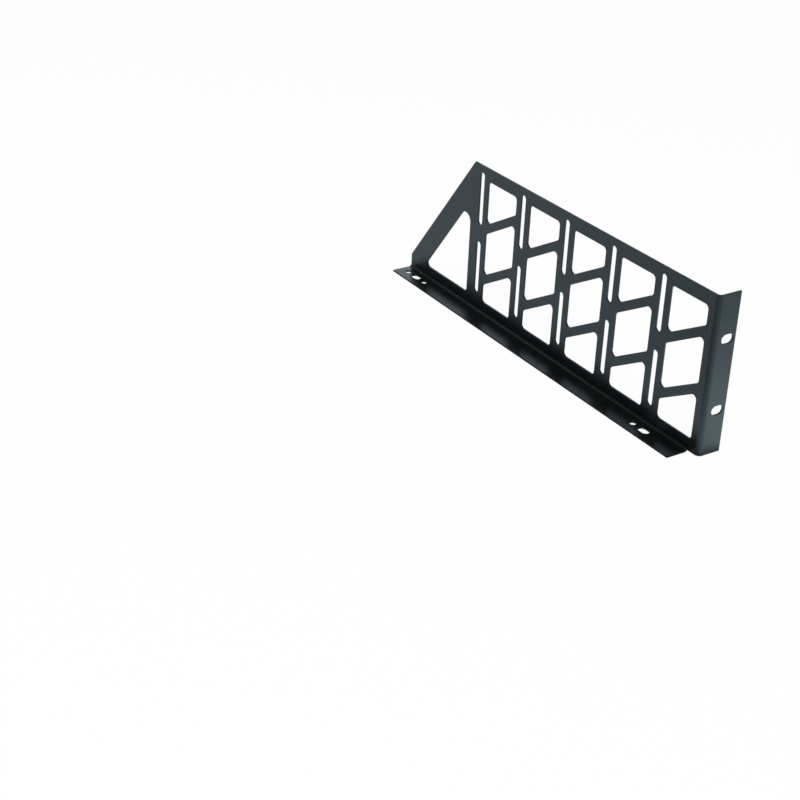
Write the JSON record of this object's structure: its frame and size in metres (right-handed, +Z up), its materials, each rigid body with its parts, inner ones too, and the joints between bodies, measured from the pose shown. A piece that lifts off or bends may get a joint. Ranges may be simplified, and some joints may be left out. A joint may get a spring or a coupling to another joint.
{
  "type": "rack mount ear bracket",
  "caption": "Folded steel rack bracket: tall web cut into windows and slots, slotted ear at the front, drilled flange along the foot, slanting rear end.",
  "frame": {"origin": "middle of the bracket's box in plan, on the underside of the flange", "axes": "+X outwards across the rack, along the ear; +Y from the ear's front face to the rear; +Z up, as mounted"},
  "size_m": [0.0396, 0.3888, 0.13],
  "materials": {
    "powder_coat": "satin black powder coat with a cool grey sheen"
  },
  "bodies": {
    "root": {"bracket": "powder_coat"}
  },
  "joints": []
}
